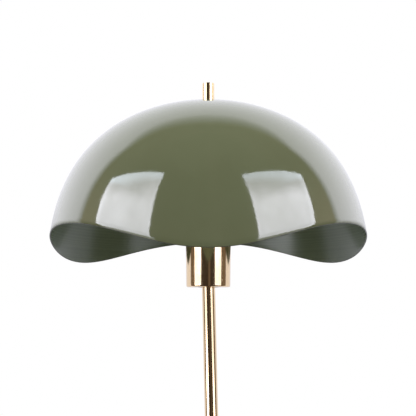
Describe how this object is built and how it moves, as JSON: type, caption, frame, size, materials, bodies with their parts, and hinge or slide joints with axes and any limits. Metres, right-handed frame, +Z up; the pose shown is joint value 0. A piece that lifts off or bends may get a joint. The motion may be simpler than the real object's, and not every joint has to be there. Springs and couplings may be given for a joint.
{
  "type": "adjustable arm floor lamp",
  "caption": "Floor lamp with a round base, tilting clamped arm, upright stem and a dome shade with a wavy rim above a brass lampholder cup.",
  "frame": {"origin": "centre of the rubber pad's underside, on the floor under the pole", "axes": "+Z up along the pole; at rest the arm leans towards -X in the XZ plane, and the clamp knobs face -Y, the front"},
  "size_m": [0.5381, 0.3066, 1.5],
  "materials": {
    "pad_rubber": "matt moulded rubber",
    "cast_weight": "rough black-painted casting",
    "green_enamel": "gloss sage-green enamel on spun steel",
    "zinc_steel": "bright zinc plate",
    "grommet_rubber": "satin black rubber",
    "polished_brass": "polished brass with a warm lacquer",
    "contact_brass": "plain pressed brass",
    "lead_sheath": "flexible insulation",
    "nylon": "natural nylon",
    "holder_plastic": "black moulded thermoset",
    "bulb_insulator": "black glass insulator",
    "opal_glass": "opal white glass",
    "shade_enamel": "gloss sage-green enamel on hand-spun aluminium, satin inside"
  },
  "bodies": {
    "base": {"base_pad": "pad_rubber", "base_weight": "cast_weight", "base_cover": "green_enamel", "base_nut": "zinc_steel", "base_washer": "zinc_steel", "base_nipple": "zinc_steel", "cord_inlet_grommet": "grommet_rubber", "pole_foot": "polished_brass", "pole_lower_tube": "polished_brass", "pole_coupler": "zinc_steel", "pole_upper_tube": "polished_brass", "pole_top_bush": "polished_brass", "pole_lead": "lead_sheath"},
    "swivel": {"swivel_fork": "polished_brass", "swivel_retaining_nut": "zinc_steel", "swivel_pivot_screw": "polished_brass", "swivel_friction_washers": "nylon"},
    "swivel_knob": {"swivel_clamp_knob": "polished_brass"},
    "arm": {"arm_tongue": "polished_brass", "arm_tube": "polished_brass", "arm_fork": "polished_brass", "arm_lead": "lead_sheath", "elbow_pivot_screw": "polished_brass", "elbow_friction_washers": "nylon"},
    "elbow_knob": {"elbow_clamp_knob": "polished_brass"},
    "stem": {"stem_tongue": "polished_brass", "stem_tube": "polished_brass", "stem_nipple": "zinc_steel", "stem_ball_nut": "zinc_steel", "stem_lead": "lead_sheath"},
    "ball": {"swivel_ball": "polished_brass"},
    "head": {"holder_cup": "polished_brass", "ball_retainer": "zinc_steel", "holder_bridge": "zinc_steel", "retainer_screws": "zinc_steel", "lampholder_body": "holder_plastic", "holder_screws": "zinc_steel", "lampholder_screw_shell": "contact_brass", "lampholder_contact": "contact_brass", "harp_saddle": "zinc_steel", "harp": "zinc_steel", "harp_stud": "polished_brass", "shade_seat_washer": "nylon", "finial": "polished_brass", "bulb_cap": "zinc_steel", "bulb_insulator": "bulb_insulator", "bulb_glass": "opal_glass"},
    "shade": {"shade": "shade_enamel", "shade_eyelet": "polished_brass"}
  },
  "joints": [
    {"name": "arm_turn", "type": "hinge", "parent": "base", "child": "swivel", "pos_m": [0, 0, 0.7948], "axis": [0, 0, 1], "range_deg": [-170, 170]},
    {"name": "arm_tilt", "type": "hinge", "parent": "swivel", "child": "arm", "pos_m": [0, 0, 0.7948], "axis": [0, 1, 0], "range_deg": [-60, 35]},
    {"name": "swivel_knob_turn", "type": "hinge", "parent": "swivel", "child": "swivel_knob", "pos_m": [0, 0, 0.7948], "axis": [0, 1, 0], "range_deg": [0, 360]},
    {"name": "elbow_tilt", "type": "hinge", "parent": "arm", "child": "stem", "pos_m": [-0.2409, 0, 1.13885], "axis": [0, 1, 0], "range_deg": [-50, 60]},
    {"name": "elbow_knob_turn", "type": "hinge", "parent": "arm", "child": "elbow_knob", "pos_m": [-0.2409, 0, 1.13885], "axis": [0, 1, 0], "range_deg": [0, 360]},
    {"name": "head_turn", "type": "hinge", "parent": "stem", "child": "ball", "pos_m": [-0.24481, 0, 1.3073], "axis": [-0.0232, 0, 0.9997], "range_deg": [-160, 160]},
    {"name": "head_tilt", "type": "hinge", "parent": "ball", "child": "head", "pos_m": [-0.24481, 0, 1.3073], "axis": [0, 1, 0], "range_deg": [-15, 15]},
    {"name": "shade_turn", "type": "hinge", "parent": "head", "child": "shade", "pos_m": [-0.24481, 0, 1.3408], "axis": [0, 0, 1], "range_deg": [-180, 180]}
  ]
}
